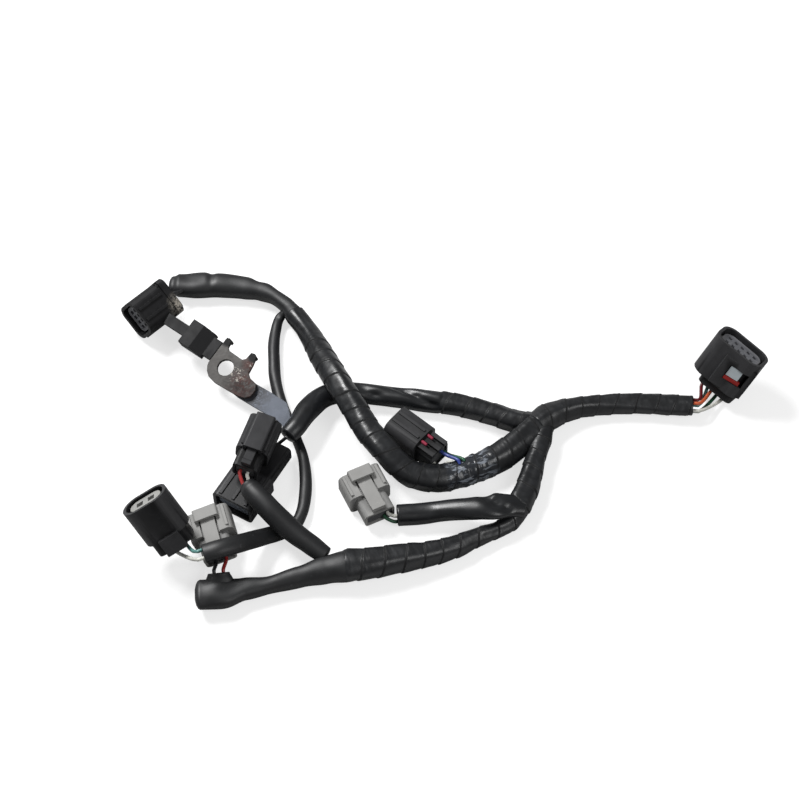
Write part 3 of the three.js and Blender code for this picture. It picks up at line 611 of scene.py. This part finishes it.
def steel_look(name, bright, dull, roughness, rust_and_shade_spots, rust_and_shade, deep_rust_and_shade, tips=(), chips=()):
    """Plated steel, dulled and scratched, with a stain round each spot (rusted on the plate, painted shade on
    the strip), black tips and pale chips.

    Each spot, tip and chip is a point of the object and a radius, in metres."""
    look = Look(name, bright, roughness, 0.2)
    place = look.coords()
    cloud = look.noise(place, scale=140, detail=5, rough=0.65, twist=0.5)
    scratch = look.noise(look.coords("Object", (1, 5, 1)), scale=520, detail=5, rough=0.7, twist=0.2)
    speck = look.noise(place, scale=420, detail=6, rough=0.7, twist=0.9)
    metal = look.blend(look.spread(cloud, 0.35, 0.68, 0.0, 1.0), bright, dull)
    share = None
    # Round each spot point: rust on the plate, painted shade on the strip
    for spot, radius in rust_and_shade_spots:
        near = look.spread(look.distance(place, spot), radius * 0.3, radius, 1.0, 0.0)
        share = near if share is None else look.maths("MAXIMUM", share, near)
    sparse = look.spread(speck, 0.62, 0.7, 0.0, 0.8)
    strong = look.maths("MULTIPLY", share, look.spread(speck, 0.4, 0.52, 0.0, 1.0))
    ragged = look.maths("MAXIMUM", strong, look.maths("MULTIPLY", sparse, 0.5))
    rust_and_shade_stain = look.blend(look.spread(cloud, 0.4, 0.62, 0.0, 1.0), rust_and_shade, deep_rust_and_shade)
    body = look.blend(ragged, metal, rust_and_shade_stain)
    matt = ragged
    # Black, matt and not metallic round each tip point
    for spot, radius in tips:
        black_tip = look.spread(look.distance(place, spot), radius * 0.7, radius, 1.0, 0.0)
        body = look.blend(black_tip, body, TAB_TIP_BLACK)
        matt = look.maths("MAXIMUM", matt, black_tip)
    for spot, radius in chips:
        near = look.spread(look.distance(place, spot), radius * 0.4, radius, 1.0, 0.0)
        fleck = look.noise(place, scale=900, detail=4, rough=0.6, twist=0.6)
        bare = look.maths("MULTIPLY", near, look.spread(fleck, 0.56, 0.62, 0.0, 0.8))
        body = look.blend(bare, body, BARE_CHIP)
    look.colour(body)
    scratched = look.spread(scratch, 0.3, 0.7, roughness - 0.08, roughness + 0.1)
    look.gloss(look.maths("ADD", scratched, look.maths("MULTIPLY", matt, 0.3)))
    look.put(look.shader.inputs["Metallic"], look.spread(matt, 0.0, 1.0, 0.4, 0.0))
    look.bumps([(scratch, 0.12, 0.1), (ragged, 0.3, 0.12)], METAL_EDGE)
    return look.made


def wire_look(name, colour, shade):
    """Thin wire insulation: smooth, half glossy, with faint grime."""
    look = Look(name, colour, 0.36)
    grime = look.noise(look.coords(), scale=520, detail=4, rough=0.65, twist=0.4)
    look.colour(look.blend(look.spread(grime, 0.45, 0.75, 0.0, 0.7), colour, shade))
    look.gloss(look.spread(grime, 0.3, 0.7, 0.28, 0.48))
    look.bumps([(grime, 0.1, 0.1)])
    return look.made


TAPE = tape_look("wrapping_tape", "151618", "202225", 0.32, 0.46)
TRUNK_TAPE = tape_look("trunk_wrapping_tape", "151618", "202225", 0.29, 0.43, LOOSE_FROM_TO)
SLEEVE = sleeve_look("vinyl_sleeve", "111214", "1b1c1e", 0.44, 0.6)
SHINY_SLEEVE = sleeve_look("shiny_vinyl_sleeve", "121315", "1e2023", 0.28, 0.44)
BLACK = plastic_look("black_plastic", "121213", "1b1b1d", 0.46, "4c4c4e", 0.22)
# Connector C's terminal holder: a blue-grey made paler than the part, painted light that lifts it out of the
# shade of its recess
CAP = plastic_look("blue_grey_cap", "6f7680", "7e8590", 0.3, "7a7f86", 0.15)
HOLDER_BLACK = plastic_look("holder_black_plastic", "060607", "0e0e10", 0.6, "232325", 0.12)
GREY = plastic_look("grey_plastic", "747473", "828281", 0.55, "a6a5a2", 0.3)
DARK_GREY = plastic_look("dark_grey_insert", "5a5b5f", "6a6b6f", 0.5, "8a8a8c", 0.2)
PALE = plastic_look("pale_insert", "8f8f8d", "9d9d9a", 0.5, "8f8e88", 0.3)
SEAL = plastic_look("seal_rubber", "38393c", "45464a", 0.7, "6a6a6a", 0.2)
WHITE = plastic_look("white_slide", "b5bfc4", "c6ced2", 0.45, "8a8f92", 0.3)
RED_LOCK = plastic_look("red_lock_bar", "a3201c", "8c1a18", 0.45, "5a2a26", 0.25)
RED_PLUG = plastic_look("red_blank_plug", "a83a50", "97304a", 0.5, "6a2a36", 0.25)
# Points of the object and radii, in metres: dried dust at the rear of connector A, rust at the plate's
# lower end, black on the tips of its tabs, chips beside the rust, and painted shade at the strip's end near
# the plate
HOUSING_DUST = ((-0.1325, 0.0716, 0.016), 0.008)
PLATE_RUST = [((-0.0985, 0.0235, 0.010), 0.0115), ((-0.0945, 0.034, 0.013), 0.007)]
TAB_TIPS = [((-0.1065, 0.0493, 0.016), 0.005), ((-0.0925, 0.0388, 0.016), 0.0048)]
PLATE_CHIPS = [((-0.1015, 0.0300, 0.0125), 0.0055), ((-0.0945, 0.0345, 0.014), 0.0035)]
STRIP_PAINTED_SHADE_END = [((-0.0975, 0.0262, 0.009), 0.019)]
DUSTY_BLACK = dusty_look("dusty_black_plastic", "121213", "1b1b1d", 0.5, *HOUSING_DUST)
STEEL = steel_look(
    "bracket_steel",
    bright="403e3c",
    dull="2e2c2a",
    roughness=0.52,
    rust_and_shade_spots=PLATE_RUST,
    rust_and_shade="4c2b26",
    deep_rust_and_shade="241c1b",
    tips=TAB_TIPS,
    chips=PLATE_CHIPS,
)
# Painted shade: the strip darkens towards its end near the plate, in the stain colours round that point
STRIP = steel_look(
    "strip_steel",
    bright="4a4f59",
    dull="3d424b",
    roughness=0.38,
    rust_and_shade_spots=STRIP_PAINTED_SHADE_END,
    rust_and_shade="2c2a2b",
    deep_rust_and_shade="232223",
)
WIRES = {
    "maroon": wire_look("maroon_wire", "5a0f16", "32090d"),
    "teal": wire_look("teal_wire", "5f8f8a", "3f625f"),
    "orange": wire_look("orange_wire", "c25a36", "853c24"),
    "green": wire_look("green_wire", "2f5a42", "1f3b2c"),
    "white": wire_look("white_wire", "cfcfc8", "98978f"),
    "blue": wire_look("blue_wire", "34448c", "232e5c"),
    "red": wire_look("red_wire", "9c2b2b", "64201f"),
    "black": wire_look("black_wire", "1c1c1e", "2c2c2e"),
}


# Where the trunk's tape begins, in mm along it
TRUNK_TAPE_START = 20
# Where branch C's tape ends and its tube begins, in mm along it
BRANCH_C_TAPE_END = 50
# Where the lower branch's tape ends and tube D begins, in mm along it
LOWER_TAPE_END = 139.8


def lower_relief(s, th):
    """Taped as far as the parting of B and D, then tube D with its flattened folds."""
    tape = tape_relief(5, 0.45)(s, th)
    dents = [(LOWER_TAPE_END + 56, TOP, 1.4, 6, 0.6), (LOWER_TAPE_END + 64, 4.6, 0.9, 5, 0.7)]
    tube_skin = sleeve_relief(9, 0.18, dents)(s, th)
    share = past(s, LOWER_TAPE_END, TAPE_END_SLOPE)
    return tape * (1 - share) + tube_skin * share


def branch_c_relief(s, th):
    """Taped at its root, then a vinyl tube with a pinched bulge and a twist before the trunk."""
    tape = tape_relief(4, 0.4)(s, th)
    pinch = [(BRANCH_C_TAPE_END + 4 + 4.5 * n, 0.7 + 0.4 * n, 1.3, 4, 0.35) for n in range(5)]
    twist = [(84, 1.0, 1.6, 5, 0.5), (90, 1.7, 1.4, 5, 0.5), (72, TOP, 0.7, 9, 0.5)]
    tube_skin = sleeve_relief(11, 0.16, pinch + twist)(s, th)
    share = past(s, BRANCH_C_TAPE_END, TAPE_END_SLOPE)
    return tape * (1 - share) + tube_skin * share


# Branch pieces, each in the place of its plain solid
SOLIDS = {
    "sleeve_a": ["branch_a_sleeve"],
    "trunk": ["trunk_tape"],
    "tape_h": ["branch_h_tape"],
    "branch_c": ["branch_c_tape", "branch_c_sleeve"],
    "sleeve_e": ["branch_e_sleeve"],
    "lower_and_d": ["lower_branch_tape", "branch_bd_tape", "branch_d_sleeve"],
    "sleeve_f": ["branch_f_sleeve"],
    "sleeve_b": ["branch_b_sleeve"],
}
branches = {
    "sleeve_a": tube(
        "branch_a_vinyl_tube",
        ROUTES["sleeve_a"],
        sleeve_relief(
            3,
            0.14,
            [(9, 1.2, 1.3, 6, 0.9), (20, 0.9, 0.8, 2, 1.2), (47, 5.2, 2.0, 3, 0.7), (44, 0.4, 1.0, 3, 0.5)],
        ),
        [SLEEVE],
        square=2.3,
        dome=2.2,
    ),
    "trunk": tube(
        "trunk_wrapping_tape",
        ROUTES["trunk"],
        tape_relief(1, taped_from=TRUNK_TAPE_START, loose=LOOSE_CREASES),
        [TRUNK_TAPE],
        seed=1,
        taped_from=TRUNK_TAPE_START,
    ),
    "tape_h": tube(
        "branch_h_wrapping_tape", ROUTES["tape_h"], tape_relief(2, 0.42), [TAPE], mouths=(0, 3), seed=2
    ),
    "branch_c": tube(
        "branch_c_tape_and_tube",
        ROUTES["branch_c"],
        branch_c_relief,
        [TAPE, SHINY_SLEEVE],
        second_look_from=BRANCH_C_TAPE_END,
        seed=4,
    ),
    "sleeve_e": tube(
        "branch_e_vinyl_tube",
        ROUTES["sleeve_e"],
        sleeve_relief(6, 0.1, [(4, TOP, 0.8, 3, 0.8)]),
        [SLEEVE],
        around=48,
        mouths=(0, 6),
        wall=0.8,
    ),
    "lower_and_d": tube(
        "lower_branch_tape_and_tube_d",
        ROUTES["lower_and_d"],
        lower_relief,
        [TAPE, SLEEVE],
        second_look_from=LOWER_TAPE_END,
        square=2.15,
        seed=5,
        dome=2.6,
    ),
    "sleeve_f": tube(
        "branch_f_vinyl_tube",
        ROUTES["sleeve_f"],
        sleeve_relief(
            8,
            0.16,
            [
                (10, 1.0, 1.5, 3, 0.5),
                (14, 1.7, 1.9, 3, 0.5),
                (18, 2.4, 1.4, 3, 0.5),
                (12, 2.8, -0.9, 4, 0.6),
            ],
        ),
        [SHINY_SLEEVE],
        mouths=(0, 6),
        square=2.3,
    ),
    "sleeve_b": tube(
        "branch_b_vinyl_tube",
        ROUTES["sleeve_b"],
        sleeve_relief(10, 0.12),
        [SLEEVE],
        mouths=(5, 0),
    ),
}
# A cord's path takes one point from this many rings of its tube
PATH_STEP = 6
# Each cord: which end of its route is the far one, what is there, and that connector's letter.
# Tubes B and F lie free too, but they are shorter than six of their diameters and have no entry here
CORDS = {
    "sleeve_a": (0, "connector", "a"),
    "trunk": (1, "object", ""),
    "tape_h": (1, "connector", "h"),
    "branch_c": (1, "connector", "c"),
    "sleeve_e": (1, "connector", "e"),
    "lower_and_d": (1, "connector", "d"),
}


for key, (piece, s, line) in branches.items():
    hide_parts(*SOLIDS[key])
    if key not in CORDS:
        continue
    far, kind, letter = CORDS[key]
    path = line[::PATH_STEP] * MM
    path = np.vstack([path, line[-1:] * MM])
    if far == 0:
        path = path[::-1]


# The folded mouth of tube D, where its wires come up to the connector
flap = tube(
    "branch_d_folded_mouth",
    ROUTES["mouth_d"],
    sleeve_relief(12, 0.2),
    [SLEEVE],
    mouths=(0, 3),
    wall=0.7,
)[0]
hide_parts("branch_d_sleeve")

# The solid's tongue stops short of connector A; in the photograph it reaches the housing
TONGUE_WAY = np.array((-0.81, 0.588, 0.027))
TONGUE_REACH = 5.5 * MM
# Points this near the tongue's far end belong to its end face
TONGUE_FACE = 0.4 * MM


def longer_tongue(part):
    """A copy of the holder whose tongue's end face is slid on along the tongue, up to the housing."""
    mesh = part.data.copy()
    mesh.name = "connector_a_holder_with_tongue"
    points = np.array([v.co for v in mesh.vertices])
    along = points @ TONGUE_WAY
    points[along > along.max() - TONGUE_FACE] += TONGUE_WAY * TONGUE_REACH
    mesh.vertices.foreach_set("co", points.reshape(-1))
    mesh.materials.clear()
    mesh.materials.append(HOLDER_BLACK)
    piece = bpy.data.objects.new("connector_a_holder_with_tongue", mesh)
    bpy.context.scene.collection.objects.link(piece)
    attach(piece, "root")
    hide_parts("connector_a_holder")
    return piece


longer_tongue(parts["connector_a_holder"])

# The other moulded and metal parts keep their solids and get finished materials, and so do the wires,
# whose facets are rounded: the size of a cell in metres, then how strongly and how often it is smoothed
WIRE_CELL = 0.00022
WIRE_SMOOTHING = 0.5
WIRE_PASSES = 10


def dress(name):
    """The finished material for one solid of the frame."""
    if name.endswith("wire_seal"):
        return SEAL
    if "blank_plug" in name:
        return RED_PLUG
    if name.startswith("bracket"):
        return STEEL if name.endswith("plate") else STRIP
    special = {
        "connector_h_lock_slide": WHITE,
        "connector_h_lock_bar": RED_LOCK,
        "connector_a_housing": DUSTY_BLACK,
        "connector_e_terminal_holder": PALE,
        "connector_c_terminal_holder": CAP,
        "connector_b_terminal_holder": BLACK,
        "connector_d_terminal_holder": GREY,
        "connector_f_terminal_holder": GREY,
        "connector_d_housing": GREY,
        "connector_f_housing": GREY,
    }
    if name in special:
        return special[name]
    if name.startswith("wire_"):
        return WIRES[name.split("_")[-1]]
    return DARK_GREY if name.endswith("terminal_holder") else BLACK


hidden = {name for names in SOLIDS.values() for name in names} | {"connector_a_holder"}
for name, part in parts.items():
    if name in hidden:
        continue
    if name.startswith("wire_"):
        rounder = part.modifiers.new("even", "REMESH")
        rounder.mode = "VOXEL"
        rounder.voxel_size = WIRE_CELL
        rounder.use_smooth_shade = True
        softer = part.modifiers.new("round", "SMOOTH")
        softer.factor = WIRE_SMOOTHING
        softer.iterations = WIRE_PASSES
    if part.material_slots:
        for place in part.material_slots:
            place.material = dress(name)
    else:
        part.data.materials.append(dress(name))


# Table, light and backdrop. Only the camera's own rays see them glow: reflections see them duller
TABLE_REACH = 4
TABLE_GLOW = 0.66
BACKDROP = 1.0
ROOM_LIGHT = 0.22


def floor_look():
    """White paper that keeps the soft shadow and is pure white elsewhere."""
    look = Look("white_table", "b4b4b4", 0.9)
    ray = look.add("LightPath")
    look.shader.inputs["Emission Color"].default_value = (1, 1, 1, 1)
    seen = look.maths("MULTIPLY", ray.outputs["Is Camera Ray"], TABLE_GLOW)
    look.put(look.shader.inputs["Emission Strength"], seen)
    look.shader.inputs["Specular IOR Level"].default_value = 0.1
    grain = look.noise(look.coords(), scale=60, detail=2)
    look.bumps([(grain, 0.02, 0.1)])
    return look.made


corners = [(-1, -1), (1, -1), (1, 1), (-1, 1)]
mesh = bpy.data.meshes.new("white_table")
mesh.from_pydata([(x * TABLE_REACH, y * TABLE_REACH, 0) for x, y in corners], [], [(0, 1, 2, 3)])
mesh.materials.append(floor_look())
table = bpy.data.objects.new("white_table", mesh)
bpy.context.scene.collection.objects.link(table)


def softbox(name, place, aim, size, power):
    """An oblong lamp at a place, turned to face the point that it is aimed at."""
    lamp = bpy.data.lights.new(name, "AREA")
    lamp.shape = "RECTANGLE"
    lamp.size, lamp.size_y = size
    lamp.energy = power
    holder = bpy.data.objects.new(name, lamp)
    holder.location = place
    holder.rotation_euler = (Vector(aim) - Vector(place)).to_track_quat("-Z", "Y").to_euler()
    bpy.context.scene.collection.objects.link(holder)


softbox("key_light", place=(-0.5, 0.45, 0.8), aim=(-0.02, 0.0, 0), size=(0.45, 0.25), power=13.0)
softbox("fill_light", place=(0.6, -0.5, 0.8), aim=(0, 0, 0), size=(0.5, 0.5), power=4.0)
world = bpy.data.worlds.new("studio")
bpy.context.scene.world = world
world.use_nodes = True
tree = world.node_tree
back = tree.nodes["Background"]
back.inputs["Color"].default_value = (1, 1, 1, 1)
ray = tree.nodes.new("ShaderNodeLightPath")
level = tree.nodes.new("ShaderNodeMapRange")
level.inputs["To Min"].default_value = ROOM_LIGHT
level.inputs["To Max"].default_value = BACKDROP
tree.links.new(ray.outputs["Is Camera Ray"], level.inputs["Value"])
tree.links.new(level.outputs["Result"], back.inputs["Strength"])

bpy.context.view_layer.update()
